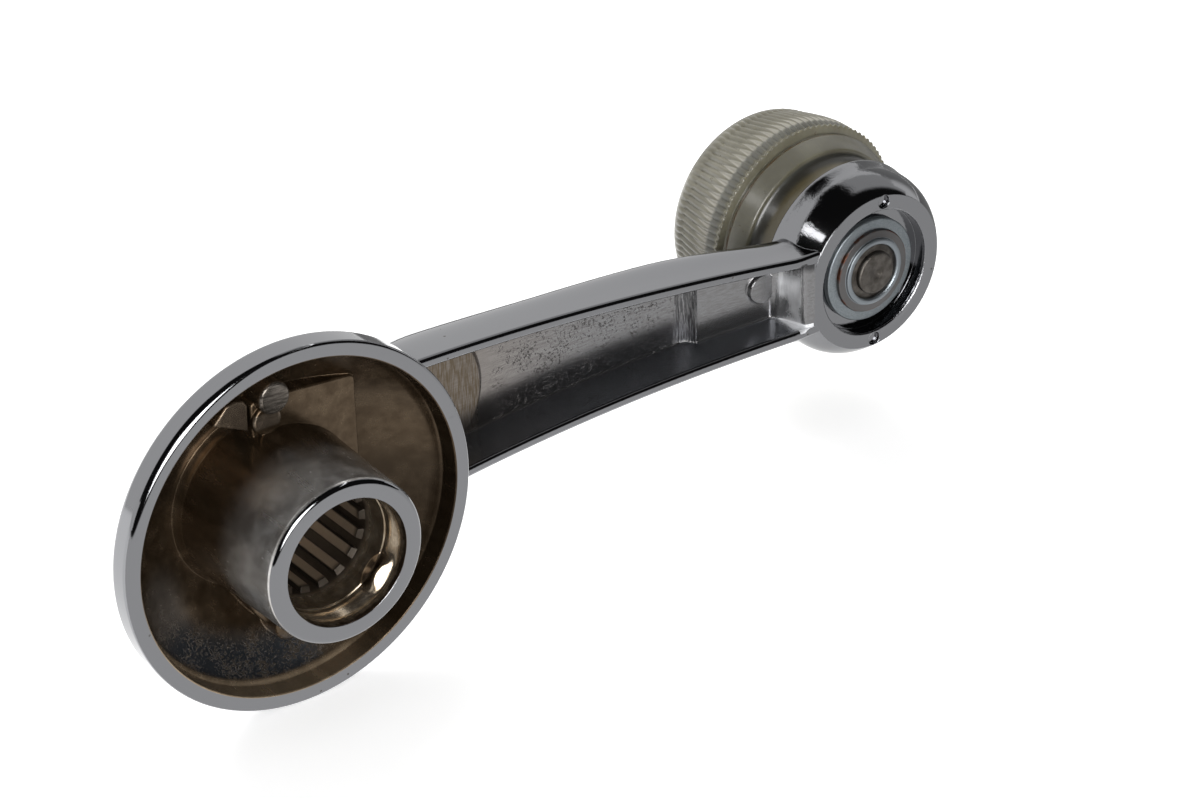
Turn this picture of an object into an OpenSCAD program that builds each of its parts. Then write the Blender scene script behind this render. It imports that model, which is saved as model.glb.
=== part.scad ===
// Window crank handle: a die-cast crank with a splined socket, and a ribbed knob that spins on a riveted stem.
// Frame: origin at the centre of the socket's mouth, X along the arm to the knob, Y away from the door, Z up.

/* [Crank] */
// Distance from the socket's axis to the knob's axis
crank_length = 100; // [85:1:125]
// How far the ring's face at the knob end lies behind the hub's rim
ring_set_back = 7.4; // [5:0.2:11]

/* [Hub] */
// Outer diameter of the hub
hub_d = 50.6; // [48:0.2:56]
// Width of the flat face of the hub's rim
rim_face_w = 0.95; // [0.6:0.05:1.6]
// Radius of the rim's rounded outer edge
rim_round = 1; // [0.4:0.1:1.4]
// Height of the hub's straight side before the crown begins
hub_side_h = 3.2; // [2:0.1:5]
// Height from the rim to the top of the crown
hub_h = 15.4; // [13:0.2:18]
// Thickness of the crown
crown_t = 2; // [1.5:0.1:3]

/* [Socket] */
// Diameter of the boss at its mouth
boss_d = 22.4; // [21:0.1:26]
// How far the boss stands proud of the hub's rim
boss_stand = 10; // [6:0.2:14]
// Draft of the boss on each side, in degrees
boss_draft = 2; // [0.5:0.1:3]
// Diameter of the smooth lead-in at the mouth
lead_d = 17.3; // [16.6:0.1:18.4]
// Length of the smooth lead-in
lead_len = 4.6; // [4:0.1:6]
// Length of the taper from the lead-in to the splines
taper_len = 3.2; // [2:0.1:4]
// Number of spline teeth
spline_count = 18; // [12:1:24]
// Diameter across the roots of the splines
spline_root_d = 16; // [15.4:0.1:16.4]
// Diameter across the tips of the splines
spline_tip_d = 14.4; // [13.4:0.1:15]
// Depth of the blind socket
socket_depth = 20; // [17:0.2:21]

/* [Arm] */
// Outer width of the arm's open side at the hub
arm_w_hub = 21; // [17:0.2:22]
// Outer width of the arm's open side at the ring
arm_w_ring = 12.9; // [11:0.2:15]
// Width of each narrow land along the arm's open side, with its rounded outer edge
arm_land_w = 1.55; // [1:0.1:1.8]
// Radius of the lands' rounded outer edge
land_round = 0.6; // [0.2:0.1:0.8]
// Height of the arm's section along its middle
arm_h = 10; // [9:0.2:12]
// Radius of the arm's bow
arm_bow_r = 250; // [180:5:400]
// Depth of the channel below the lands
channel_depth = 6.75; // [4:0.25:7]
// Height of the step in the channel's floor
channel_step = 1.4; // [0.6:0.1:2.4]

/* [Ring] */
// Outer diameter of the ring
ring_d = 27.6; // [26:0.2:30]
// Height of the ring
ring_h = 7.6; // [6.6:0.2:9]
// Diameter of the counterbore for the washer
counterbore_d = 18.7; // [17.5:0.1:20]
// Depth of the counterbore
counterbore_depth = 2; // [1.6:0.1:2.6]

/* [Knob] */
// Largest diameter of the knob, over its ribs
knob_d = 32.9; // [30:0.1:36]
// Height of the knob from its neck to its end
knob_h = 22.6; // [20:0.2:26]
// Number of ribs round the knob
rib_count = 96; // [48:2:108]
// Depth of the grooves between the ribs
rib_depth = 0.45; // [0.2:0.05:0.6]
// Height of the glued base below the ribbed cap
base_h = 6; // [5:0.2:7]

/* [Pivot] */
// Diameter of the stem that the knob spins on
stem_d = 8.2; // [7:0.1:9]
// Running gap round the stem, on each side
stem_gap = 0.06; // [0.03:0.01:0.1]
// Diameter of the stem's head inside the knob
head_d = 14; // [12:0.2:17]
// Thickness of the stem's head
head_t = 2.4; // [1.6:0.1:3]
// Outer diameter of the flat washer
washer_d = 15.4; // [14:0.1:17]
// Thickness of the flat washer
washer_t = 1; // [0.6:0.1:1.2]
// Outer diameter of the push-on retainer
retainer_d = 12.4; // [11:0.1:13.4]
// Height of the bowed spring washer as fitted
spring_h = 1; // [0.8:0.1:1.6]

/* [Hidden] */
$fn = 96;
eps = 0.01;

// The hub, measured from the mouth of the socket along Y
rim_y = boss_stand;
crown_y = rim_y + hub_h;
hub_r = hub_d / 2;
rim_in_r = hub_r - rim_face_w - rim_round;
// The crown is a ball's cap that starts just inside the corner of the side
corner_in = 0.7;
corner_up = 0.8;
cap_edge_r = hub_r - corner_in;
cap_rise = hub_h - hub_side_h - corner_up;
cap_r = (cap_edge_r * cap_edge_r + cap_rise * cap_rise) / (2 * cap_rise);
cap_y = crown_y - cap_r;
bowl_r = cap_r - crown_t;
bowl_wall_h = hub_side_h - 0.4;

// The boss and its pads
boss_len = cap_y + sqrt(cap_r * cap_r - pow(boss_d / 2 + 1, 2)) - crown_t / 2;
boss_root_r = boss_d / 2 + boss_len * tan(boss_draft);
mouth_round = 0.6;
pad_y = rim_y + 6;
pad_x0 = -2.8;
pad_x1 = boss_d / 2 + 1.4;
pad_z = boss_d / 2 + 4.6;
post_r = 2.2;
post_z = boss_d / 2 + 5.4;
post_h = 1.4;
web_r = 2.05;
web_x = -0.8;
web_z = boss_d / 2 + 2.2;
web_h = 0.6;
spline_y = lead_len + taper_len;
tooth_y = spline_y + 0.3;
tooth_share = 0.5;

// The arm: y of its open side, its height, its width and its back, all against x
ring_y = rim_y + ring_set_back;
ring_r = ring_d / 2;
ring_flare = 0.9;
bow_x = crank_length * 0.43;
arm_x0 = hub_r * 0.2;
arm_x1 = crank_length - ring_r * 0.3;
bow_end = arm_x1 - ring_r * 0.7;
land_drop = 0.05;
bow_y = ring_y + land_drop + pow(bow_end - bow_x, 2) / (2 * arm_bow_r);
function smooth(u) = let (t = max(0, min(1, u))) t * t * (3 - 2 * t);
function mix(a, b, t) = a + (b - a) * t;
function land_y(x) = x > bow_end ? ring_y + land_drop : bow_y - pow(x - bow_x, 2) / (2 * arm_bow_r);
function arm_half(x) = mix(arm_w_hub, arm_w_ring, max(0, min(1, (x - hub_r) / (bow_end - hub_r)))) / 2;
crown_at_x0 = cap_y + sqrt(cap_r * cap_r - arm_x0 * arm_x0) - 0.3;
arm_rise = 25;
root_swell = 1.2;
swell_len = 26;
thin_len = 22;
function back_full(x) = land_y(x) + mix(arm_h, ring_h, smooth((x - bow_end + thin_len - 2) / thin_len))
    + root_swell * (1 - smooth((x - hub_r) / swell_len));
function arm_back(x) = mix(crown_at_x0, back_full(x), smooth((x - arm_x0) / arm_rise));

// The arm's section is a rounded D, widest a little behind the lands
section_n = 22;
section_p = 4;
bulge_hub = 0;
bulge_ring = 1.2;
function power(v, p) = sign(v) * pow(abs(v), p);
function bulge(x) = mix(bulge_hub, bulge_ring, smooth((x - hub_r) / (bow_end - hub_r)));
function land_edge(x, y0, w) = [for (t = [0 : 30 : 90])
    [x, y0 + land_round * (1 - cos(t)), w - land_round * (1 - sin(t))]];
function flipped(points) = [for (i = [len(points) - 1 : -1 : 0]) [points[i][0], points[i][1], -points[i][2]]];
function section(x) = let (y0 = land_y(x), h = arm_back(x) - y0, w = arm_half(x), edge = land_edge(x, y0, w))
    concat(edge,
        [for (i = [1 : section_n - 1]) let (a = 180 * i / section_n)
            [x, y0 + h * power(sin(a), 2 / section_p), power(cos(a), 2 / section_p) * (w + bulge(x) * abs(sin(2 * a)))]],
        flipped(edge));
arm_steps = 26;
function arm_x(i) = mix(arm_x0, arm_x1, i / arm_steps);

// The channel
channel_x0 = hub_r - 2.5;
channel_x1 = crank_length - ring_r + 0.3;
end_slant = 2.7;
end_fillet = 1.2;
mouth_x1 = channel_x1 + end_slant;
step_from_end = 12.7;
step_x = channel_x1 - step_from_end;
step_ramp = 1.8;
floor_steps = 18;
nose_x = hub_r + 3.8;
nose_y = land_y(nose_x) + channel_depth;
nose_r = arm_w_hub / 2;
foot_rise = 3;
disc_r = 2.2;
disc_h = 0.35;
disc_x = channel_x1 - 2.3;
mark_r = 0.8;
mark_depth = 0.5;
mark_in = 3.15;
mark_angles = [82.5, -89];

// The pivot stack along Y
bore_r = stem_d / 2 + stem_gap;
seat_y = ring_y + counterbore_depth;
washer_y = seat_y - washer_t;
retainer_t = 0.55;
retainer_lip_h = 0.45;
retainer_y = washer_y - retainer_t;
ring_back_y = ring_y + ring_h;
spring_t = 0.5;
neck_y = ring_back_y + spring_h;
joint_y = neck_y + base_h;
knob_end_y = neck_y + knob_h;
tip_d = 6.3;
tip_out = 0.9;

// The knob's section
knob_r = knob_d / 2;
neck_r = ring_r - 1.6;
collar_r = knob_r - 0.6;
neck_h = base_h - 2.6;
groove_h = 1;
rib_y0 = joint_y + groove_h;
rib_len = 8.8;
rib_y1 = rib_y0 + rib_len;
rib_taper = 1;
rib_shelf = 0.1;
cap_round = 4.2;

module along_y(y = 0) {
    translate([0, y, 0]) rotate([-90, 0, 0]) children();
}

module at_knob() {
    translate([crank_length, 0, 0]) children();
}

module turned(points, y = 0) {
    along_y(y) rotate_extrude($fn = 128) polygon(points);
}

// A skin over equal rows of points, closed flat at both ends
module loft(rows) {
    n = len(rows[0]);
    m = len(rows);
    sides = [for (j = [0 : m - 2], i = [0 : n - 1]) let (k = (i + 1) % n)
        each [[j * n + i, j * n + k, (j + 1) * n + k], [j * n + i, (j + 1) * n + k, (j + 1) * n + i]]];
    ends = [[for (i = [n - 1 : -1 : 0]) i], [for (i = [0 : n - 1]) (m - 1) * n + i]];
    polyhedron([for (row = rows) each row], concat(sides, ends), convexity = 4);
}

function arc(cx, cy, r, a0, a1, n = 8) = [for (i = [0 : n]) let (a = mix(a0, a1, i / n)) [cx + r * cos(a), cy + r * sin(a)]];

// Outer form of the hub as radius against height
function hub_outline() = concat(
    [[0, rim_y]],
    arc(hub_r - rim_round, rim_y + rim_round, rim_round, -90, 0, 6),
    arc(hub_r - 1.1, rim_y + hub_side_h - 0.3, 1.1, 0, 42, 4),
    [for (i = [0 : 20]) let (r = cap_edge_r * (1 - i / 20)) [r, cap_y + sqrt(cap_r * cap_r - r * r)]]);

module hub() {
    turned(hub_outline());
}

// Open bowl inside the hub
module bowl() {
    inner_r = min(rim_in_r - 0.6, bowl_r * 0.74);
    turned(concat(
        [[0, rim_y - 1], [rim_in_r + 0.5, rim_y - 1], [rim_in_r, rim_y + eps]],
        [[rim_in_r - 0.35, rim_y + bowl_wall_h]],
        [for (i = [0 : 14]) let (r = inner_r * (1 - i / 14)) [r, cap_y + sqrt(bowl_r * bowl_r - r * r)]]));
}

module boss() {
    turned(concat([[0, 0]], arc(boss_d / 2 - mouth_round, mouth_round, mouth_round, -90, 0, 5),
        [[boss_root_r, boss_len], [0, crown_y - crown_t / 2]]));
}

// Flat pads above and below the boss, each with a post and a rounded web that joins it to the boss
module pads() {
    upper = [[pad_x0, 0], [pad_x0, -pad_z], [pad_x1, -pad_z], [pad_x1, 0]];
    upper_small = [[pad_x0 - 5.4, -pad_z + 1], [pad_x0 - 0.4, -pad_z + 3.4], [pad_x0 - 0.4, -pad_z - 0.3],
                   [pad_x0 - 0.9, -pad_z - 0.9], [pad_x0 - 2, -pad_z - 1.3]];
    lower = [[pad_x0 - 4, 0], [pad_x0 - 4, pad_z - 6.4], [pad_x0 - 1.4, pad_z - 1.6], [pad_x0 - 0.4, pad_z],
             [pad_x1, pad_z], [pad_x1, 0]];
    intersection() {
        union() {
            along_y(pad_y) linear_extrude(crown_y - pad_y) for (outline = [upper, upper_small, lower]) polygon(outline);
            for (side = [-1, 1]) {
                translate([0, 0, side * post_z]) along_y(pad_y - post_h) cylinder(r = post_r, h = crown_y);
                translate([web_x, 0, side * web_z]) along_y(pad_y - web_h) cylinder(r = web_r, h = crown_y);
            }
        }
        translate([0, cap_y, 0]) sphere(r = cap_r - crown_t / 2);
    }
}

// One tooth of the spline, left standing inside the root bore
module spline_teeth() {
    for (i = [0 : spline_count - 1]) rotate([0, i * 360 / spline_count, 0]) intersection() {
        translate([spline_tip_d / 2, tooth_y, -PI * spline_tip_d * tooth_share / spline_count / 2])
            cube([spline_root_d, socket_depth, PI * spline_tip_d * tooth_share / spline_count]);
        along_y(tooth_y) cylinder(d = spline_root_d + 0.6, h = socket_depth - tooth_y + eps);
    }
}

module socket() {
    difference() {
        turned([[0, -1], [lead_d / 2, -1], [lead_d / 2, lead_len], [lead_d / 2 - 0.2, lead_len],
                [spline_root_d / 2, spline_y], [spline_root_d / 2, socket_depth], [0, socket_depth]]);
        spline_teeth();
    }
}

module arm() {
    loft([for (i = [0 : arm_steps]) section(arm_x(i))]);
}

// Floor of the channel against x, with its step near the ring
function channel_floor(x) = land_y(x) + channel_depth - channel_step * smooth((x - step_x + step_ramp) / step_ramp);

module channel() {
    x_at = function (i) mix(channel_x0, channel_x1, i / floor_steps);
    inner_at = function (i) let (x = mix(channel_x0, mouth_x1, i / 8)) [x, arm_half(x) - arm_land_w];
    floor_line = concat(
        [for (i = [0 : floor_steps]) if (x_at(i) < step_x - step_ramp) [x_at(i), land_y(x_at(i)) + channel_depth]],
        [for (i = [0 : 5]) let (x = step_x - step_ramp * (1 - i / 5)) [x, channel_floor(x)]],
        [for (i = [0 : floor_steps]) if (x_at(i) > step_x) [x_at(i), channel_floor(x_at(i))]]);
    floor_end = channel_floor(channel_x1);
    end_round = arc(channel_x1 - end_fillet, floor_end - end_fillet, end_fillet, 90, 20, 5);
    lip = [for (a = [30, 60, 90]) [mouth_x1 - end_slant * 0.4 * cos(a), ring_y + 1.4 * (1 - sin(a))]];
    lifted = [for (p = floor_line) if (p[0] < channel_x1 - end_fillet) p];
    side = concat([[channel_x0, rim_y]], lifted, end_round, lip, [[mouth_x1 + 0.1, rim_y]]);
    difference() {
        intersection() {
            translate([0, 0, -hub_r]) linear_extrude(hub_d) polygon(side);
            along_y(rim_y - eps) linear_extrude(crown_y)
                polygon(concat([for (i = [0 : 8]) inner_at(i)], [for (i = [8 : -1 : 0]) [inner_at(i)[0], -inner_at(i)[1]]]));
        }
        hub();
        // Rounded foot at the hub, with a slope down to the floor
        hull() {
            translate([nose_x, 0, 0]) along_y(nose_y) cylinder(r = nose_r, h = 1);
            translate([nose_x - foot_rise, 0, 0]) along_y(nose_y - foot_rise) cylinder(r = nose_r, h = foot_rise + 1);
        }
        // Round raised disc near the ring
        translate([disc_x, 0, 0]) along_y(channel_floor(disc_x) - disc_h) cylinder(r = disc_r, h = 2, $fn = 32);
    }
}

module ring() {
    shoulder = 5;
    face_in = 2.2;
    at_knob() turned(concat([[0, ring_y]],
        [for (i = [0 : 8]) [ring_r - face_in * pow(1 - i / 8, 2.2), ring_y + shoulder * i / 8]],
        [[ring_r + ring_flare, ring_back_y - 0.6], [ring_r + ring_flare - 0.5, ring_back_y], [0, ring_back_y]]));
}

module ring_holes() {
    at_knob() {
        along_y(ring_y - 1) cylinder(r = bore_r, h = ring_h + 2);
        along_y(ring_y - 1) cylinder(d = counterbore_d, h = counterbore_depth + 1);
        for (a = mark_angles) rotate([0, -a, 0]) translate([ring_r - mark_in, 0, 0]) along_y(ring_y - mark_depth)
            cylinder(r = mark_r, h = 2 * mark_depth, $fn = 24);
    }
}

module crank_casting() {
    color([0.66, 0.67, 0.69]) difference() {
        union() {
            difference() {
                union() {
                    hub();
                    arm();
                    ring();
                }
                bowl();
                channel();
            }
            boss();
            pads();
        }
        socket();
        ring_holes();
    }
}

module knob_stem() {
    head_y = joint_y - head_t;
    color([0.42, 0.4, 0.38]) at_knob() difference() {
        turned([[0, retainer_y - tip_out], [tip_d / 2 - 0.3, retainer_y - tip_out], [tip_d / 2, retainer_y - tip_out + 0.3],
                [tip_d / 2, retainer_y - 0.1], [stem_d / 2, retainer_y + 0.1], [stem_d / 2, head_y],
                [head_d / 2, head_y], [head_d / 2, joint_y], [0, joint_y]]);
        // Small dimple left by riveting
        along_y(retainer_y - tip_out - eps) cylinder(d1 = 1.6, d2 = 0.6, h = 0.4, $fn = 24);
    }
}

// Dished spring washer that presses the knob away from the ring
module spring_washer() {
    inner = bore_r + 0.3;
    outer = neck_r - 2.5;
    color([0.55, 0.56, 0.58]) at_knob() turned([[inner, ring_back_y + spring_h - spring_t], [inner, neck_y],
        [outer, ring_back_y + spring_t], [outer, ring_back_y]]);
}

module flat_washer() {
    color([0.62, 0.67, 0.72]) at_knob() along_y(washer_y) difference() {
        cylinder(d = washer_d, h = washer_t);
        translate([0, 0, -1]) cylinder(r = bore_r, h = washer_t + 2);
    }
}

module push_on_retainer() {
    r_in = stem_d / 2;
    r_out = retainer_d / 2;
    lip = r_in + 0.9;
    color([0.5, 0.5, 0.51]) at_knob() turned([[r_in, washer_y], [r_in, retainer_y - retainer_lip_h + 0.25],
        [r_in + 0.25, retainer_y - retainer_lip_h], [lip - 0.2, retainer_y - retainer_lip_h], [lip, retainer_y],
        [r_out - 0.15, retainer_y], [r_out, retainer_y + 0.15], [r_out, washer_y]]);
}

module knob_base() {
    color([0.6, 0.58, 0.5]) at_knob() difference() {
        turned(concat([[0, neck_y], [neck_r, neck_y]],
            [for (i = [0 : 8]) let (a = 90 * i / 8) [neck_r + (collar_r - 0.7 - neck_r) * (1 - cos(a)), neck_y + 0.4 + neck_h * 0.95 * sin(a)]],
            [[collar_r - 0.2, neck_y + neck_h + 0.4], [collar_r, neck_y + neck_h + 0.9], [collar_r + 0.1, joint_y - 0.2],
             [collar_r - 0.1, joint_y], [0, joint_y]]));
        along_y(neck_y - 1) cylinder(r = stem_d / 2, h = base_h + 2);
        along_y(joint_y - head_t) cylinder(r = head_d / 2, h = head_t + 1);
    }
}

module rib_star(r, depth) {
    polygon([for (i = [0 : 2 * rib_count - 1]) let (a = 180 * i / rib_count, q = i % 2 == 0 ? r : r - depth) [q * cos(a), q * sin(a)]]);
}

module knob_cap() {
    root_r = knob_r - rib_depth;
    end_r = root_r - rib_taper - rib_shelf;
    color([0.62, 0.6, 0.52]) at_knob() union() {
        turned(concat([[0, joint_y], [collar_r - 0.1, joint_y], [collar_r, joint_y + 0.2], [collar_r - 0.25, joint_y + groove_h / 2],
            [root_r - rib_shelf, rib_y0], [end_r, rib_y1]],
            [for (i = [1 : 8]) let (a = 90 * i / 8 * 0.8) [end_r - cap_round * (1 - cos(a)), rib_y1 + cap_round * sin(a)]],
            [for (i = [1 : 6]) let (r = (end_r - cap_round * (1 - cos(72))) * (1 - i / 6), h = rib_y1 + cap_round * sin(72))
                [r, h + (knob_end_y - h) * (1 - pow(1 - i / 6, 2))]]));
        along_y(rib_y0) linear_extrude(rib_y1 - rib_y0, scale = (knob_r - rib_taper) / knob_r) rib_star(knob_r, rib_depth);
    }
}

crank_casting();
knob_stem();
spring_washer();
flat_washer();
push_on_retainer();
knob_base();
knob_cap();
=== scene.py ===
# A window crank handle: a die-cast, chromed crank with a splined socket, and a ribbed plastic knob that
# spins on a riveted stem. Sizes are in millimetres and are turned into metres where a mesh is made.
import math

import bpy
from mathutils import Matrix, Vector


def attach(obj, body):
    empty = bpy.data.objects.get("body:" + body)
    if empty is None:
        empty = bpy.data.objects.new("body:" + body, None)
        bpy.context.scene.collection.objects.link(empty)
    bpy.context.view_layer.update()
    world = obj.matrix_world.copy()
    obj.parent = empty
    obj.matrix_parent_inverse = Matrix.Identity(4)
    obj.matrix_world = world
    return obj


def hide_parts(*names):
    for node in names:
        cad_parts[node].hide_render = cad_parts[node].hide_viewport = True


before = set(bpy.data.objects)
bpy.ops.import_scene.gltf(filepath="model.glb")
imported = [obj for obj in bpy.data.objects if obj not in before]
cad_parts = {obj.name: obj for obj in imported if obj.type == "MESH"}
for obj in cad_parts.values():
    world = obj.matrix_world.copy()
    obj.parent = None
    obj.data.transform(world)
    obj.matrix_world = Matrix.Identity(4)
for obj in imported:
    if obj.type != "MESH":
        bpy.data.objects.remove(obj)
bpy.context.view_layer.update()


# The camera. One long lens from above the hub's left side, where the photograph was taken.
# Its place and turn fit the outlines of the hub's rim, the boss, the socket and the washer.
bpy.ops.object.select_all(action="DESELECT")
camera_right = Vector((0.79769292, -0.60282786, -0.01686939))
camera_up = Vector((0.31063399, 0.38674882, 0.86829251))
camera_spot = Vector((-0.196704, -0.317950, 0.235074))
bpy.ops.object.camera_add()
camera = bpy.context.object
camera_turn = Matrix((camera_right, camera_up, camera_right.cross(camera_up))).transposed().to_4x4()
camera.matrix_world = Matrix.Translation(camera_spot) @ camera_turn
camera.data.sensor_width = 36
camera.data.lens = 108.01
camera.data.clip_start = 0.01
camera.data.clip_end = 20
bpy.context.scene.camera = camera
bpy.context.scene.view_settings.view_transform = "Standard"


# The crank. One zinc die casting, polished and plated outside, with the plating thin and brown in its
# recesses. The hub, arm and ring are joined first and then hollowed, and the boss and its pads are added
# as the mould leaves them.
MM = 0.001
ROUND_STEPS = 256
crank_length = 100.0


def mix(a, b, share):
    """A value that lies the given share of the way from a to b."""
    return a + (b - a) * share


def smooth(share):
    """A share, held between 0 and 1 and eased at both ends."""
    share = max(0.0, min(1.0, share))
    return share * share * (3 - 2 * share)


def arc(across, along, radius, start, stop, count=8):
    """Points on a round corner, as (across, along) pairs, with the angles in degrees."""
    angles = [math.radians(mix(start, stop, i / count)) for i in range(count + 1)]
    return [(across + radius * math.cos(a), along + radius * math.sin(a)) for a in angles]


def turned(name, outline, centre=0.0, steps=ROUND_STEPS):
    """A closed outline of (radius, depth) points, spun once round an axis along Y."""
    bpy.ops.object.select_all(action="DESELECT")
    bpy.ops.mesh.primitive_circle_add(vertices=len(outline), radius=MM)
    piece = bpy.context.object
    piece.name = piece.data.name = name
    for vertex, (radius, depth) in zip(piece.data.vertices, outline):
        vertex.co = (radius * MM, depth * MM, 0)
    bpy.ops.object.mode_set(mode="EDIT")
    bpy.ops.mesh.select_all(action="SELECT")
    bpy.ops.mesh.spin(steps=steps, angle=math.tau, center=(0, 0, 0), axis=(0, 1, 0))
    bpy.ops.mesh.select_all(action="SELECT")
    bpy.ops.mesh.remove_doubles(threshold=0.000001)
    bpy.ops.mesh.delete_loose(use_verts=True, use_edges=True, use_faces=False)
    bpy.ops.mesh.select_all(action="SELECT")
    bpy.ops.mesh.normals_make_consistent(inside=False)
    bpy.ops.transform.translate(value=(centre * MM, 0, 0))
    bpy.ops.object.mode_set(mode="OBJECT")
    return piece


def skinned(name, rows):
    """A closed skin over equal rows of points, from a grid that is bent round and capped at both ends."""
    across = len(rows[0])
    bpy.ops.object.select_all(action="DESELECT")
    bpy.ops.mesh.primitive_grid_add(x_subdivisions=across, y_subdivisions=len(rows) - 1, size=MM)
    piece = bpy.context.object
    piece.name = piece.data.name = name
    for index, vertex in enumerate(piece.data.vertices):
        row, column = divmod(index, across + 1)
        vertex.co = Vector(rows[row][column % across]) * MM
    bpy.ops.object.mode_set(mode="EDIT")
    bpy.ops.mesh.select_all(action="SELECT")
    bpy.ops.mesh.remove_doubles(threshold=0.000001)
    bpy.ops.mesh.fill_holes(sides=0)
    bpy.ops.mesh.select_all(action="SELECT")
    bpy.ops.mesh.normals_make_consistent(inside=False)
    bpy.ops.object.mode_set(mode="OBJECT")
    return piece


def slab(name, outline, low, high, edge, centre=(0.0, 0.0)):
    """An outline of (x, z) points, filled at depth low and pushed through to depth high.

    The edges at depth low are rounded.
    """
    bpy.ops.object.select_all(action="DESELECT")
    bpy.ops.mesh.primitive_circle_add(vertices=len(outline), radius=MM, fill_type="NGON")
    piece = bpy.context.object
    piece.name = piece.data.name = name
    for vertex, (x, z) in zip(piece.data.vertices, outline):
        vertex.co = ((x + centre[0]) * MM, low * MM, (z + centre[1]) * MM)
    bpy.ops.object.mode_set(mode="EDIT")
    bpy.ops.mesh.select_all(action="SELECT")
    bpy.ops.mesh.extrude_region_move(TRANSFORM_OT_translate={"value": (0, (high - low) * MM, 0)})
    bpy.ops.mesh.select_all(action="SELECT")
    bpy.ops.mesh.normals_make_consistent(inside=False)
    bpy.ops.object.mode_set(mode="OBJECT")
    for vertex in piece.data.vertices:
        vertex.select = abs(vertex.co.y - low * MM) < 0.01 * MM
    for part in (*piece.data.edges, *piece.data.polygons):
        part.select = all(piece.data.vertices[i].select for i in part.vertices)
    bpy.ops.object.mode_set(mode="EDIT")
    bpy.ops.mesh.bevel(offset=edge * MM, segments=4, affect="EDGES")
    bpy.ops.object.mode_set(mode="OBJECT")
    return piece


def round_outline(radius, count=48):
    """Points on a circle round the origin."""
    angles = [math.tau * i / count for i in range(count)]
    return [(radius * math.cos(a), radius * math.sin(a)) for a in angles]


def boolean(piece, tool, operation):
    """Joins tool to piece, or cuts it away, and removes tool."""
    bpy.ops.object.select_all(action="DESELECT")
    bpy.context.view_layer.objects.active = piece
    bpy.ops.object.modifier_add(type="BOOLEAN")
    step = piece.modifiers[-1]
    step.operation = operation
    step.solver = "EXACT"
    step.material_mode = "TRANSFER"
    step.object = tool
    bpy.ops.object.modifier_apply(modifier=step.name)
    bpy.data.objects.remove(tool)


def smoothed(piece, degrees):
    """Shades piece smooth across its edges, apart from those that turn by more than the angle."""
    bpy.ops.object.select_all(action="DESELECT")
    piece.select_set(True)
    bpy.context.view_layer.objects.active = piece
    bpy.ops.object.shade_smooth_by_angle(angle=math.radians(degrees))


def plain(piece, material):
    """Gives piece one material."""
    piece.data.materials.clear()
    piece.data.materials.append(material)
    return piece


class Wire:
    """One value in a material. Sums written on it become Math nodes."""

    def __init__(self, paint, socket):
        self.paint = paint
        self.socket = socket

    def maths(self, operation, *values):
        """A Math node that works on the values."""
        return self.paint.node("ShaderNodeMath", {"operation": operation}, dict(enumerate(values)))

    def __add__(self, other):
        return self.maths("ADD", self, other)

    def __mul__(self, other):
        return self.maths("MULTIPLY", self, other)

    def __sub__(self, other):
        return self.maths("SUBTRACT", self, other)

    def __rsub__(self, other):
        return self.maths("SUBTRACT", other, self)

    def __truediv__(self, other):
        return self.maths("DIVIDE", self, other)

    def __pow__(self, other):
        return self.maths("POWER", self, other)

    def ramp(self, low, high):
        """0 below low and 1 above high, with a smooth step between. Low may be the larger one."""
        settings = {"interpolation_type": "SMOOTHSTEP"}
        values = {"Value": self, "From Min": low, "From Max": high}
        return self.paint.node("ShaderNodeMapRange", settings, values)

    def band(self, start, full, fade, end):
        """1 from full to fade, and 0 below start and above end."""
        return self.ramp(start, full) * self.ramp(end, fade)


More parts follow.
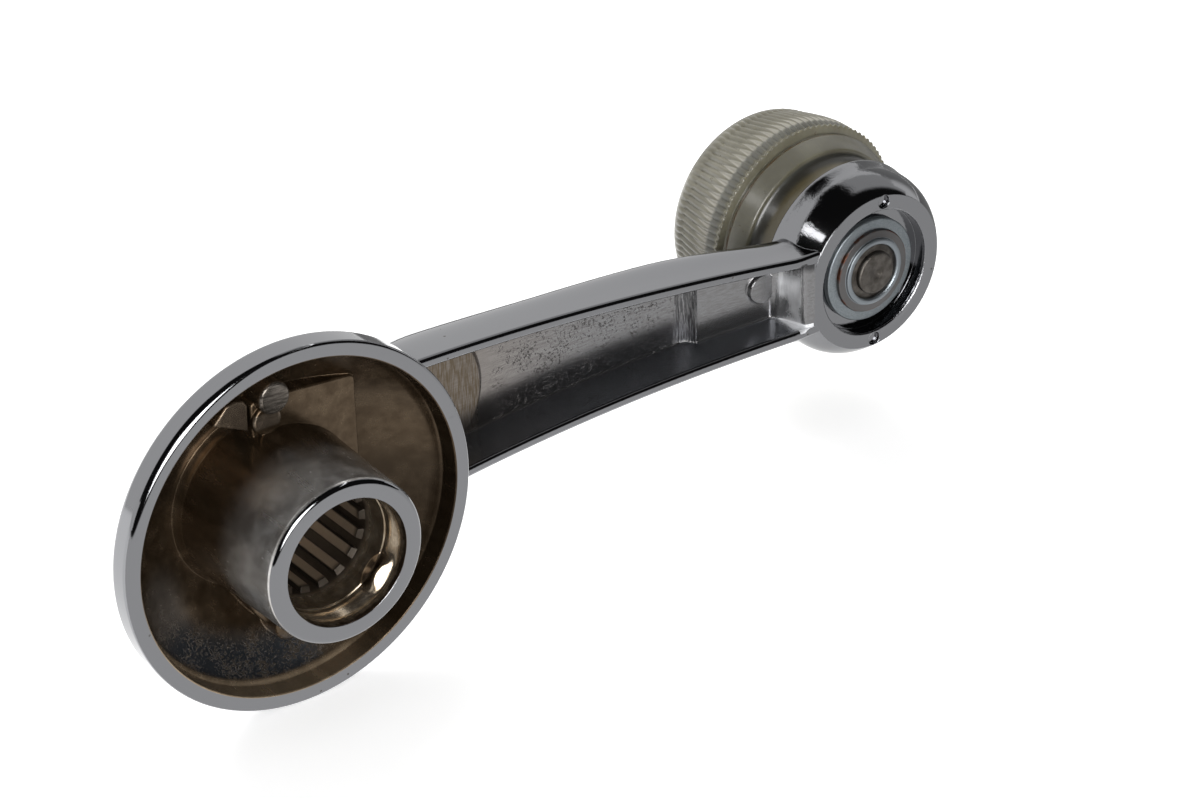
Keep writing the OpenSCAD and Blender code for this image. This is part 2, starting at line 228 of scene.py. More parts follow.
class Paint:
    """A node material for one finish."""

    def __init__(self, name):
        self.material = bpy.data.materials.new(name)
        self.material.use_nodes = True
        self.tree = self.material.node_tree
        self.tree.nodes.clear()
        self.out = self.tree.nodes.new("ShaderNodeOutputMaterial")
        self.place = self.node("ShaderNodeTexCoord", {}, {}, "Object")

    def node(self, kind, settings, values, output=0):
        """A new node with its settings and input values. One of its outputs comes back."""
        node = self.tree.nodes.new(kind)
        for name, value in settings.items():
            setattr(node, name, value)
        for name, value in values.items():
            self.feed(node.inputs[name], value)
        return Wire(self, node.outputs[output])

    def feed(self, socket, value):
        """Links a Wire to an input, or sets the input to a plain value."""
        if isinstance(value, Wire):
            self.tree.links.new(value.socket, socket)
        else:
            socket.default_value = value

    def axes(self, unit=MM):
        """The coordinates x, y and z, in mm unless another unit is given."""
        spot = self.node("ShaderNodeSeparateXYZ", {}, {0: self.place})
        outputs = spot.socket.node.outputs
        return [Wire(self, outputs[i]) / unit for i in range(3)]

    def off_axis(self, centre=0.0):
        """Distance in mm from the axis along Y that passes x = centre."""
        x, y, z = self.axes()
        across = x - centre
        return (across * across + z * z) ** 0.5

    def distance(self, spot, place=None):
        """Distance in mm from a spot."""
        values = {0: place or self.place, 1: [value * MM for value in spot]}
        return self.node("ShaderNodeVectorMath", {"operation": "DISTANCE"}, values, "Value") / MM

    def moved(self, scale=(1, 1, 1), offset=(0, 0, 0)):
        """The object's coordinates, scaled and shifted. A small scale draws noise out along that axis."""
        values = {"Vector": self.place, "Location": offset, "Scale": scale}
        return self.node("ShaderNodeMapping", {}, values)

    def noise(self, size, detail=2.0, rough=0.5, place=None, warp=0.0):
        """Cloudy noise from 0 to 1, whose blots are about size mm across."""
        values = {"Vector": place or self.place, "Scale": 1 / (size * MM)}
        values |= {"Detail": detail, "Roughness": rough, "Distortion": warp}
        return self.node("ShaderNodeTexNoise", {}, values)

    def cells(self, size):
        """Distance to the nearest of many scattered spots, about size mm apart, as a share of size."""
        values = {"Vector": self.place, "Scale": 1 / (size * MM)}
        return self.node("ShaderNodeTexVoronoi", {}, values)

    def blend(self, share, first, second):
        """A colour between two, as linear red, green and blue."""
        values = {0: share}
        for index, colour in ((6, first), (7, second)):
            values[index] = colour if isinstance(colour, Wire) else (*colour, 1)
        return self.node("ShaderNodeMix", {"data_type": "RGBA"}, values, 2)

    def rounded(self, radius):
        """The surface's normal, with each corner softened as if it were rounded."""
        return self.node("ShaderNodeBevel", {"samples": 6}, {"Radius": radius * MM})

    def bumped(self, height, depth, normal=None):
        """A normal for a height map from 0 to 1 that stands depth mm high."""
        values = {"Height": height, "Distance": depth * MM, "Strength": 1.0}
        if normal:
            values["Normal"] = normal
        return self.node("ShaderNodeBump", {}, values)

    def finish(self, **values):
        """The material, with its surface made of the values."""
        named = {name.replace("_", " "): value for name, value in values.items()}
        shader = self.node("ShaderNodeBsdfPrincipled", {}, named)
        self.tree.links.new(shader.socket, self.out.inputs["Surface"])
        return self.material


# Bright chrome, with the faint waves and the few pits that polishing leaves. It is wrinkled on the ring's
# shoulder and worn at the edge of the washer's counterbore.
paint = Paint("bright_chrome")
x, y = paint.axes()[:2]
waves = paint.noise(7, 1.0)
grain = paint.noise(0.25, 3.0)
wrinkles = paint.noise(1.1, 4.0, 0.62, warp=0.8) * x.ramp(84, 88) * y.ramp(18.0, 20.0)
pit = paint.cells(2.6).ramp(0.075, 0.045) * paint.noise(9, 1.0).ramp(0.56, 0.62)
worn = paint.off_axis(crank_length).band(9.0, 9.3, 9.6, 10.4) * y.band(17.0, 17.3, 17.6, 18.0)
worn = worn * paint.noise(0.6, 4.0, 0.65)
height = waves * 0.35 + grain * 0.012 - pit * 0.6 + wrinkles * 0.6 + worn * 1.6
bright_chrome = paint.finish(
    Base_Color=paint.blend(pit, (0.25, 0.252, 0.262), (0.1, 0.09, 0.08)),
    Metallic=1.0,
    Roughness=paint.noise(11, 3.0).ramp(0.35, 0.75) * 0.05 + 0.05,
    Normal=paint.bumped(height, 0.05, paint.rounded(0.18)),
)

# Brown, nickel-like plating inside the cup. It greys towards the boss's mouth, the low side of the cup is
# pitted, and it is rubbed on the posts. Painted shade darkens two corners beside the boss, and painted light
# brightens the webs, the low part of the upright wall and a sheen on the boss.
paint = Paint("cup_plating")
x, y, z = paint.axes()
reach = paint.off_axis()
low_side = reach.band(16.5, 20, 22.2, 22.6) * z.ramp(-8, -14) * x.ramp(7, 1)
speckle = paint.noise(0.32, 6.0, 0.7)
smear = paint.distance((-17.5, 17, -8.5))
blots = paint.noise(3.6, 4.0, 0.6)
pitted = low_side * (blots * 0.5 + speckle * 0.8).ramp(0.6, 0.66)
streaks = paint.noise(1.6, 4.0, 0.6, paint.moved(scale=(1, 0.22, 1)))
brown = paint.blend(streaks.ramp(0.3, 0.75), (0.062, 0.041, 0.023), (0.115, 0.082, 0.051))
grey = paint.blend(blots.ramp(0.35, 0.7), (0.24, 0.225, 0.21), (0.5, 0.49, 0.475))
# Painted shade: the brown is darkened in two corners of the cup beside the boss.
painted_corner_shade = x.ramp(10, 18) * z.ramp(6, -2) + x.ramp(-9, -13) * z.ramp(1, 6)
brown = paint.blend(painted_corner_shade * 0.6, brown, (0.03, 0.021, 0.013))
near_mouth = y.ramp(12.5, 4.5) * reach.ramp(14, 13)
colour = paint.blend(near_mouth * (blots * 0.5 + 0.7), brown, grey)
colour = paint.blend(smear.ramp(7, 1.5) * (streaks * 0.8 + 0.2), colour, (0.22, 0.2, 0.18))
colour = paint.blend(low_side * 0.5, colour, (0.17, 0.155, 0.14))
small_pad = x.ramp(-3.0, -3.2) * z.ramp(12, 13) * y.ramp(16.3, 16.1)
colour = paint.blend(small_pad * 0.6, colour, (0.2, 0.16, 0.12))
colour = paint.blend(pitted, colour, (0.028, 0.032, 0.038))
mirrored = paint.node("ShaderNodeVectorMath", {"operation": "ABSOLUTE"}, {0: paint.place})
post = paint.distance((0, 14.7, 16.6), mirrored).ramp(2.3, 2.1) * y.ramp(15.2, 14.9)
brush = paint.noise(0.25, 3.0, 0.6, paint.moved(scale=(0.12, 1, 1)))
brushed = paint.blend(brush.ramp(0.3, 0.7), (0.045, 0.038, 0.03), (0.17, 0.15, 0.13))
colour = paint.blend(post * z.ramp(0, 5), colour, brushed)
# Painted highlight: the webs are painted lighter, streaked like brushing.
web = y.ramp(15.75, 15.6) * z.band(12.3, 12.8, 14.4, 14.6) * reach.ramp(20, 18)
colour = paint.blend(web * (brush * 0.6 + 0.3), colour, (0.2, 0.165, 0.13))
# Painted light: the low part of the upright wall is painted a light brown, with streaks.
wall = reach.ramp(22.35, 22.6) * z.ramp(2, -14) * x.ramp(13, 3)
colour = paint.blend(wall * (streaks * 0.5 + 0.5), colour, (0.5, 0.385, 0.26))
# Painted highlight: a pale silvery sheen on the boss near its mouth.
painted_sheen = (z * 0.6 - x * 0.8).band(4, 9, 10, 12) * near_mouth
colour = paint.blend(painted_sheen * blots * 0.9, colour, (0.75, 0.74, 0.72))
side_pits = paint.cells(1.1).ramp(0.17, 0.1) * y.ramp(11, 8) * blots.ramp(0.5, 0.6)
height = paint.noise(5, 2.0) * 0.5 + speckle * 0.012 - pitted * 0.3 + side_pits * 0.5
cup_plating = paint.finish(
    Base_Color=colour,
    Metallic=0.8,
    Roughness=streaks.ramp(0.3, 0.8) * 0.1 + 0.2 + pitted * 0.2,
    Normal=paint.bumped(height, 0.06, paint.rounded(0.22)),
)

# Dull plating inside the socket. Its lead-in narrows like a funnel and shows the fine rings of the tool.
paint = Paint("socket_plating")
y = paint.axes()[1]
rings = paint.noise(0.16, 2.0, 0.6, paint.moved(scale=(0.05, 1, 0.05)))
stain = paint.noise(1.5, 4.0, 0.6)
grain = paint.noise(0.3, 3.0, 0.6)
edge = (stain * 1.6 + y).ramp(1.7, 1.2)
deep = y.ramp(6.5, 8.5)
# Painted shade: the teeth are painted almost black in their grooves and on their front faces, and lighter
# only on their tops.
tooth_top = paint.off_axis().ramp(7.45, 7.3) * y.ramp(8.4, 9.4)
colour = paint.blend(stain.ramp(0.35, 0.7), (0.27, 0.21, 0.145), (0.46, 0.39, 0.3))
teeth = paint.blend(tooth_top, (0.03, 0.022, 0.015), (0.24, 0.19, 0.14))
colour = paint.blend(deep, colour, teeth)
colour = paint.blend(edge * 0.8, colour, (0.06, 0.035, 0.02))
glint = paint.distance((6.2, 2.5, -5.6))
funnel = y.ramp(1.0, 4.4) * (glint.ramp(3.2, 1.2) * 45.0 + 35.0)
socket_plating = paint.finish(
    Base_Color=colour,
    Metallic=deep * -0.4 + 0.9,
    Roughness=stain.ramp(0.3, 0.8) * 0.08 + deep * 0.2 + 0.17,
    Normal=paint.bumped(rings * 0.5 + stain * 0.5 + grain * deep * 0.4 + funnel, 0.05, paint.rounded(0.12)),
)

# Thin chrome in the arm's channel, brushed along the arm and pitted, with a warmer foot next to the hub.
# Painted shade darkens the floor's low half and its upper edge, and painted light brightens the low wall and
# the end wall.
# The channel narrows towards the ring, so its walls lie where above or below has a fixed value.
channel_taper = 0.0663
paint = Paint("channel_plating")
x, y, z = paint.axes()
above = z + x * channel_taper
below = z - x * channel_taper
brushed = paint.noise(0.22, 3.0, 0.6, paint.moved(scale=(0.07, 1, 1)))
fan = paint.noise(0.3, 3.0, 0.6, paint.moved(scale=(0.12, 1, 1), offset=(0, 0, 0.01)))
flecks = paint.noise(0.42, 4.0, 0.7, warp=0.6)
patch = paint.noise(4.5, 2.0)
lines = paint.noise(0.2, 3.0, 0.6, paint.moved(scale=(1, 1, 0.1)))
foot = x.ramp(39.6, 38.4) * below.ramp(-10.25, -9.9)
step = x.band(70.8, 71.8, 73.8, 74.0)
speck = (flecks * 0.9 + patch * 0.22).ramp(0.62, 0.68) * 0.7 * x.band(40, 44, 70, 74)
warm = x.ramp(62, 30)
colour = paint.blend(warm, (0.27, 0.27, 0.275), (0.29, 0.262, 0.24))
colour = paint.blend(brushed.ramp(0.35, 0.7) * 0.35, colour, (0.14, 0.125, 0.115))
colour = paint.blend(foot * (lines.ramp(0.35, 0.65) * 0.5 + 0.4), colour, (0.11, 0.082, 0.05))
colour = paint.blend(step * lines.ramp(0.4, 0.6) * 0.75, colour, (0.05, 0.05, 0.052))
# Painted shade: the low half of the floor is darkened, except near the ring.
painted_floor_shade = below.band(-10.25, -10.0, -8, -5) * x.ramp(75, 70)
colour = paint.blend(painted_floor_shade * 0.6, colour, (0.05, 0.05, 0.053))
# Painted shade: almost black along the floor's upper edge.
painted_edge_shade = above.ramp(9.2, 10.4)
colour = paint.blend(painted_edge_shade * 0.8, colour, (0.03, 0.03, 0.032))
# Painted reflection: the low wall is painted a light bluish grey.
low_wall = below.ramp(-10.2, -10.3)
colour = paint.blend(low_wall * 0.7, colour, (0.42, 0.44, 0.48))
# Painted highlight: the end wall's brushed streaks and the low wall by the ring are painted near white, with
# less metal and more roughness.
end_wall = x.ramp(86.0, 86.4) * y.ramp(18.2, 18.9)
sparkle = patch.ramp(0.3, 0.7) * 0.7 + lines * 0.3
bright = end_wall * sparkle * z.ramp(4.5, 1.0) + low_wall * x.ramp(85, 87.5)
bright = bright.maths("MINIMUM", bright, 1.0)
colour = paint.blend(bright, colour, (0.8, 0.81, 0.83))
colour = paint.blend(speck, colour, (0.05, 0.045, 0.042))
height = brushed * (foot * 0.35 + 0.12) + fan * foot * 0.3 + lines * (step * 2.4 + end_wall * 0.9)
height = height + patch * 0.25 - speck * 0.6
channel_plating = paint.finish(
    Base_Color=colour,
    Metallic=0.96 - bright * 0.6,
    Roughness=foot * 0.1 + brushed * 0.1 + bright * 0.15 + 0.17,
    Normal=paint.bumped(height, 0.05, paint.rounded(0.3)),
)

# The hub's outside: a shallow ball's cap on a short straight side, with a rounded rim.
hub_r = 25.3
rim_y = 10.0
crown_y = 25.4
rim_round = 1.0
rim_in_r = 23.35
side_top = rim_y + 2.9
cap_edge_r = 24.6
cap_r = 32.242
cap_y = crown_y - cap_r
bowl_r = cap_r - 2.0
bowl_edge_r = 22.38
polished_side = math.radians(150)


def on_cap(radius, ball):
    """A (radius, depth) point on a ball that shares the hub cap's centre."""
    return (radius, cap_y + math.sqrt(ball * ball - radius * radius))


outside = [(0, rim_y)]
outside += arc(hub_r - rim_round, rim_y + rim_round, rim_round, -90, 0, 12)
outside += arc(hub_r - 1.1, side_top, 1.1, 0, 42, 6)
outside += [on_cap(cap_edge_r * (1 - i / 40), cap_r) for i in range(41)]


def hub_solid(name, material):
    """The hub's outside. Its rim is rounder on the side away from the arm, where it was polished most."""
    piece = plain(turned(name, outside), material)
    for vertex in piece.data.vertices:
        spread = math.hypot(vertex.co.x, vertex.co.z) / MM
        if spread > hub_r - rim_round - 0.001 and vertex.co.y < (rim_y + rim_round + 0.001) * MM:
            away = math.cos(math.atan2(vertex.co.z, vertex.co.x) - polished_side)
            share = mix(0.4, 1.0, smooth((away - 0.6) / 0.35))
            scale = (hub_r - (hub_r - spread) * share) / spread
            vertex.co = (vertex.co.x * scale, mix(rim_y * MM, vertex.co.y, share), vertex.co.z * scale)
    return piece


crank = hub_solid("crank", bright_chrome)

# The arm: its open side bows away from the door, and its back is a flattened round that swells at the hub.
ring_y = rim_y + 7.4
ring_r = 13.8
ring_h = 7.6
arm_x0 = hub_r * 0.2
arm_x1 = crank_length - ring_r * 0.3
bow_end = arm_x1 - ring_r * 0.7
bow_x = 43.0
bow_radius = 250.0
land_step = 0.05
bow_y = ring_y + land_step + (bow_end - bow_x) ** 2 / (2 * bow_radius)
hub_end_half = 10.5
ring_end_half = 6.45
arm_thick = 10.0
arm_swell = 1.2
arm_bulge = 1.2
crown_at_x0 = on_cap(arm_x0, cap_r)[1] - 0.7
land_w = 1.55
land_round = 0.6


def land_y(x):
    """Depth of the flat lands beside the channel."""
    if x > bow_end:
        return ring_y + land_step
    return bow_y - (x - bow_x) ** 2 / (2 * bow_radius)


def arm_half(x):
    """Half the arm's width at its lands."""
    along = max(0.0, min(1.0, (x - hub_r) / (bow_end - hub_r)))
    return mix(hub_end_half, ring_end_half, along)


def arm_back(x):
    """Depth of the arm's back, from the hub's crown to the ring's thickness."""
    thick = mix(arm_thick, ring_h, smooth((x - bow_end + 20) / 22))
    swell = arm_swell * (1 - smooth((x - hub_r) / 26))
    return mix(crown_at_x0, land_y(x) + thick + swell, smooth((x - arm_x0) / 25))


def arm_section(x, count=64):
    """One cut across the arm, with a flat land side and a flattened round back."""
    low = land_y(x)
    high = arm_back(x) - low
    half = arm_half(x)
    bulge = arm_bulge * smooth((x - hub_r) / (bow_end - hub_r))
    corner = arc(half - land_round, low + land_round, land_round, -90, 0, 8)
    points = [(x, depth, across) for across, depth in corner]
    for i in range(1, count):
        a = math.pi * i / count
        cosine = math.cos(a)
        side = math.copysign(math.sqrt(abs(cosine)), cosine) if abs(cosine) > 1e-6 else 0.0
        depth = low + high * math.sqrt(math.sin(a))
        if depth > low + land_round:
            points.append((x, depth, side * (half + bulge * abs(math.sin(2 * a)))))
    return points + [(x, depth, -across) for across, depth in reversed(corner)]


arm_rows = [arm_section(mix(arm_x0, arm_x1, i / 90)) for i in range(91)]
boolean(crank, plain(skinned("arm", arm_rows), bright_chrome), "UNION")

# The ring at the knob's end: a flat face, a round shoulder and a side that flares a little towards the knob.
ring_back = ring_y + ring_h
face_in = 2.2
ring_outline = [(0, ring_y)]
ring_outline += [(ring_r - face_in * (1 - i / 18) ** 2.2, ring_y + 5 * i / 18) for i in range(19)]
ring_outline += [(ring_r + 0.08, ring_y + 5.8), (ring_r + 0.2, ring_y + 6.6), (ring_r + 0.28, ring_y + 7.1)]
ring_outline += arc(ring_r - 0.22, ring_back - 0.5, 0.5, 0, 90, 6)
ring_outline += [(0, ring_back)]
ring = plain(turned("ring", ring_outline, crank_length, 192), bright_chrome)
boolean(crank, ring, "UNION")

# The bowl inside the hub: a short upright wall, then a ball's cap that follows the outside.
bowl = [(0, rim_y - 1), (rim_in_r, rim_y - 1), (rim_in_r, rim_y)]
bowl += arc(rim_in_r, rim_y + 0.18, 0.18, 270, 180, 5)
bowl += [(rim_in_r - 0.45, rim_y + 2.6), (rim_in_r - 0.8, rim_y + 3.0)]
bowl += [on_cap(bowl_edge_r * (1 - i / 40), bowl_r) for i in range(41)]
boolean(crank, plain(turned("bowl", bowl), cup_plating), "DIFFERENCE")

# The channel. Its floor steps up near the ring and its end wall leans, and it keeps a round foot and a
# round disc.
channel_x0 = hub_r - 2.5
channel_x1 = crank_length - ring_r + 0.3
mouth_x1 = channel_x1 + 2.7
step_x = 73.8
step_ramp = 1.8
step_h = 1.4
channel_depth = 6.75
floor_round = 0.45
lip_round = 0.5
# The end wall: how far along it and what share of the depth is left there.
end_lean = [(0.0, 1.0), (0.5, 0.9), (0.95, 0.72), (1.3, 0.46), (1.6, 0.22), (1.75, 0.11)]
end_lean += [(1.95, 0.06), (2.5, 0.02), (2.9, -0.02)]
foot_r = 10.5
disc_r = 2.2
disc_x = 84.1
disc_z = 0.4
disc_h = 0.5


def channel_floor(x):
    """Depth of the channel below the lands."""
    if x <= step_x:
        return channel_depth - step_h * max(0.0, 1 - (step_x - x) / step_ramp) ** 2
    depth = channel_depth - step_h
    past = (x - channel_x1 + 1.0) / (mouth_x1 - channel_x1 + 1.0) * end_lean[-1][0]
    if past <= 0:
        return depth
    for (x0, y0), (x1, y1) in zip(end_lean, end_lean[1:]):
        if past <= x1:
            return depth * mix(y0, y1, (past - x0) / (x1 - x0))
    return depth * end_lean[-1][1]


def channel_section(x):
    """One cut across the channel, open towards the door, with round corners at its floor."""
    low = land_y(x)
    depth = channel_floor(x)
    half = arm_half(x) - land_w
    corner = min(floor_round, max(0.02, depth * 0.45))
    inset = 0.35 * max(0.0, depth) / channel_depth
    floor = arc(half - inset - corner, low + depth - corner, corner, 0, 90, 8)
    near = [(x, rim_y - 2, half + lip_round + 0.03), (x, low - 0.2, half + lip_round + 0.02)]
    lip_r = min(lip_round, max(0.02, depth * 0.4))
    angles = [math.radians(15 * i) for i in range(7)]
    lip = [(half + lip_r - lip_r * math.sin(a), low + lip_r - lip_r * math.cos(a)) for a in angles]
    side = near + [(x, along, across) for across, along in lip + floor]
    return side + [(p[0], p[1], -p[2]) for p in reversed(side)]


stations = [mix(channel_x0, step_x - step_ramp - 0.1, i / 40) for i in range(41)]
stations += [step_x - step_ramp * (1 - i / 10) for i in range(11)]
stations += [step_x + 0.02] + [mix(step_x + 0.3, channel_x1 - 1.1, i / 12) for i in range(13)]
stations += [mix(channel_x1 - 1.0, mouth_x1 - 0.05, i / 24) for i in range(25)]
channel = plain(skinned("channel", [channel_section(x) for x in stations]), channel_plating)
channel.data.materials.append(bright_chrome)
for face in channel.data.polygons:
    face_x = face.center.x / MM
    if face.center.y / MM < land_y(face_x) + lip_round * 0.9 and face_x < channel_x1:
        face.material_index = 1
boolean(channel, hub_solid("hub_core", channel_plating), "DIFFERENCE")
nose_x = hub_r + 3.8
nose_y = land_y(nose_x) + channel_depth
foot_rows = []
for back, deep in ((0.8, -0.8), (0.0, 0.0), (0.0, 2.0)):
    row = [(nose_x - back + across, nose_y + deep, up) for across, up in round_outline(foot_r, 96)]
    foot_rows.append(row)
boolean(channel, plain(skinned("foot", foot_rows), channel_plating), "DIFFERENCE")
disc_y = land_y(disc_x) + channel_floor(disc_x) - disc_h
disc = slab("disc", round_outline(disc_r), disc_y, 30, 0.12, (disc_x, disc_z))
boolean(channel, plain(disc, channel_plating), "DIFFERENCE")
boolean(crank, channel, "DIFFERENCE")

# The boss with its blind socket: smooth lead-in, small step, taper and 18 flat-topped teeth.
boss_r = 11.2
draft = math.tan(math.radians(2))
lead_r = 8.65
root_y = 21.2
spline_r = 8.0
tip_r = 7.2
tooth_count = 18
socket = [(0, 20), (spline_r - 0.3, 20), (spline_r, 19.7), (spline_r, 7.8)]
socket += [(lead_r - 0.2, 4.7), (lead_r - 0.05, 4.6), (lead_r, 4.5), (lead_r, 0.2)]
mouth = [(lead_r + 0.05, 0.04), (lead_r + 0.15, 0)] + arc(boss_r - 0.8, 0.8, 0.8, -90, 0, 12)
depths = [mix(0.8, root_y - 1.8, i / 12) for i in range(1, 13)]
side = [(boss_r + depth * draft, depth) for depth in depths]
flare_r = boss_r + root_y * draft
flare_round = 2.0
flare_turns = [math.radians(8 * i) for i in range(1, 9)]
flare = [(flare_r + flare_round * (1 - math.cos(a)), root_y - 2 + flare_round * math.sin(a))
         for a in flare_turns]
boss_outline = socket + mouth + side + flare + [(flare_r + 1.5, 22.2), (0, 23.8)]
boss = plain(turned("boss", boss_outline), cup_plating)
boss.data.materials.append(bright_chrome)
boss.data.materials.append(socket_plating)
for face in boss.data.polygons:
    spread = math.hypot(face.center.x, face.center.z) / MM
    if spread < lead_r + 0.05 and face.center.y > 0.01 * MM:
        face.material_index = 2
    elif face.center.y < 0.36 * MM:
        face.material_index = 1
boolean(crank, boss, "UNION")
tooth_half = math.pi * tip_r / tooth_count / 2
teeth = []
for i in range(tooth_count):
    turn = math.tau * i / tooth_count
    bpy.ops.object.select_all(action="DESELECT")
    bpy.ops.mesh.primitive_cube_add(size=1)
    tooth = bpy.context.object
    teeth.append(tooth)
    for vertex in tooth.data.vertices:
        out = spline_r + 0.3 if vertex.co.x > 0 else tip_r
        lead = 8.1 if vertex.co.y < 0 else 20.3
        if vertex.co.y < 0 and out < spline_r:
            lead += 0.35
        wide = tooth_half * (1.25 if vertex.co.x > 0 else 0.9)
        spot = Vector((out, lead, math.copysign(wide, vertex.co.z))) * MM
        vertex.co = Matrix.Rotation(turn, 3, "Y") @ spot
for tooth in teeth:
    tooth.select_set(True)
bpy.context.view_layer.objects.active = teeth[0]
bpy.ops.object.join()
boolean(crank, plain(teeth[0], socket_plating), "UNION")

# Flat pads beside the boss, where the mould's pins push. Each has a small post and a half-round web to
# the boss.
upper = [(-2.8, 0), (-2.8, 15.8), (-2.4, 16.15), (3.3, 16), (11.9, 15.2), (12.5, 14.7), (12.6, 0)]
upper_small = [(-8.2, 14.9), (-3.25, 12.5), (-3.2, 16.2), (-3.7, 16.9), (-4.9, 17.2), (-6.2, 16.9)]
lower = [(-6.8, 0), (-6.8, -9.4), (-4.1, -14.2), (-2.9, -15.8), (2.4, -16)]
lower += [(11.9, -15.6), (12.6, -14.9), (12.6, 0)]
pad_y = rim_y + 6
pad_edge = 0.22
pads = plain(slab("pads", upper, pad_y, crown_y, pad_edge), cup_plating)
for name, outline in (("small_pad", upper_small), ("lower_pad", lower)):
    boolean(pads, plain(slab(name, outline, pad_y, crown_y, pad_edge), cup_plating), "UNION")
for sign in (1, -1):
    web = slab("web", round_outline(2.05), pad_y - 0.6, crown_y, 0.35, (-0.8, sign * 13.4))
    boolean(pads, plain(web, cup_plating), "UNION")
    post = slab("post", round_outline(2.25), pad_y - 1.4, crown_y, 0.5, (0, sign * 16.6))
    boolean(pads, plain(post, cup_plating), "UNION")
bpy.ops.object.select_all(action="DESELECT")
ball_spot = (0, cap_y * MM, 0)
bpy.ops.mesh.primitive_uv_sphere_add(segments=96, ring_count=96, radius=(cap_r - 1) * MM, location=ball_spot)
bpy.ops.object.transform_apply(location=True)
boolean(pads, plain(bpy.context.object, cup_plating), "INTERSECT")
# The pads stop at the boss, so nothing of them reaches into the socket.
bpy.ops.object.select_all(action="DESELECT")
boss_core = [(0, 0.5), (boss_r - 0.4, 0.5), (boss_r + 0.2, 22.0), (0, 22.0)]
boolean(pads, plain(turned("boss_core", boss_core), cup_plating), "DIFFERENCE")
boolean(crank, pads, "UNION")

# Holes in the ring: the running bore, the washer's counterbore and the two small marks on its face.
bore_r = 4.16
bore = [(0, ring_y - 1), (bore_r, ring_y - 1), (bore_r, 30), (0, 30)]
boolean(crank, plain(turned("bore", bore, crank_length, 96), bright_chrome), "DIFFERENCE")
seat_y = ring_y + 2.0
counterbore_r = 9.35
counterbore = [(0, ring_y - 1), (counterbore_r + 0.25, ring_y - 1), (counterbore_r + 0.2, ring_y)]
counterbore += [(counterbore_r + 0.03, ring_y + 0.12), (counterbore_r, ring_y + 0.3)]
counterbore += [(counterbore_r, seat_y), (0, seat_y)]
boolean(crank, plain(turned("counterbore", counterbore, crank_length, 192), bright_chrome), "DIFFERENCE")
mark_reach = ring_r - 3.15
mark_outline = [(0, -0.5), (1.12, -0.5), (1.08, 0), (1.0, 0.06), (0.96, 0.15), (0.92, 0.6), (0, 0.6)]
for angle in (82.5, -89):
    mark_x = crank_length + mark_reach * math.cos(math.radians(angle))
    mark_z = mark_reach * math.sin(math.radians(angle))
    mark = turned("mark", mark_outline, 0, 32)
    for vertex in mark.data.vertices:
        vertex.co += Vector((mark_x, ring_y, mark_z)) * MM
    boolean(crank, plain(mark, bright_chrome), "DIFFERENCE")

smoothed(crank, 28)
bpy.ops.object.modifier_add(type="WEIGHTED_NORMAL")
crank.modifiers[-1].keep_sharp = True
bpy.ops.object.modifier_apply(modifier=crank.modifiers[-1].name)
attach(crank, "crank")
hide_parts("crank_casting")


# The pivot. A dark steel stem with a riveted end runs through the ring, with a thin retainer pressed on it.
# A flat washer of plated steel lies under the retainer in the counterbore, and a dished spring washer
# between the ring and the knob takes up the play.
paint = Paint("rivet_steel")
scratch = paint.noise(0.25, 4.0, 0.65, warp=1.2)
blot = paint.noise(1.2, 3.0)
colour = paint.blend(blot.ramp(0.35, 0.7), (0.075, 0.068, 0.06), (0.14, 0.128, 0.115))
colour = paint.blend(scratch.ramp(0.55, 0.75) * 0.6, colour, (0.13, 0.1, 0.075))
spot = paint.distance((crank_length, 14.9, 0))
colour = paint.blend(spot.ramp(0.7, 0.3) * 0.8, colour, (0.2, 0.06, 0.02))
rivet_steel = paint.finish(
    Base_Color=colour,
    Metallic=1.0,
    Roughness=scratch * 0.2 + 0.3,
    Normal=paint.bumped(scratch + blot * 0.5, 0.05),
)
paint = Paint("washer_zinc")
speckle = paint.noise(0.12, 3.0, 0.7)
blot = paint.noise(1.6, 2.0)
colour = paint.blend(speckle.ramp(0.35, 0.68), (0.16, 0.184, 0.2), (0.31, 0.34, 0.36))
washer_zinc = paint.finish(
    Base_Color=paint.blend(blot * 0.3, colour, (0.2, 0.21, 0.21)),
    Metallic=0.9,
    Roughness=speckle * 0.2 + 0.32,
    Normal=paint.bumped(speckle, 0.02, paint.rounded(0.1)),
)
paint = Paint("retainer_steel")
reach = paint.off_axis(crank_length)
grain = paint.noise(0.3, 3.0, 0.6)
rust = reach.ramp(5.95, 6.1) * paint.noise(1.8, 2.0).ramp(0.45, 0.6)
raised = reach.ramp(5.15, 5.0)
colour = paint.blend(raised, (0.135, 0.131, 0.13), (0.25, 0.275, 0.295))
colour = paint.blend(rust, colour, (0.12, 0.05, 0.03))
retainer_steel = paint.finish(
    Base_Color=colour,
    Metallic=0.95,
    Roughness=grain * 0.15 + 0.3,
    Normal=paint.bumped(grain, 0.015, paint.rounded(0.12)),
)
paint = Paint("spring_steel")
grain = paint.noise(0.2, 3.0, 0.6)
spring_steel = paint.finish(
    Base_Color=paint.blend(grain, (0.34, 0.34, 0.35), (0.45, 0.46, 0.48)),
    Metallic=1.0,
    Roughness=grain * 0.15 + 0.25,
    Normal=paint.bumped(grain, 0.01),
)
washer_y = seat_y - 1.0
retainer_y = washer_y - 0.55
tip_y = retainer_y - 0.9
neck_y = ring_back + 1.0
joint_y = neck_y + 6.0
stem_r = 4.1
head_r = 7.0
head_y = joint_y - 2.4
stem_outline = [(0, tip_y + 0.3), (0.45, tip_y + 0.22), (0.8, tip_y + 0.04), (1.1, tip_y), (2.5, tip_y)]
stem_outline += arc(2.8, tip_y + 0.35, 0.35, -90, 0, 6)
stem_outline += [(3.15, retainer_y - 0.1), (stem_r, retainer_y + 0.1)]
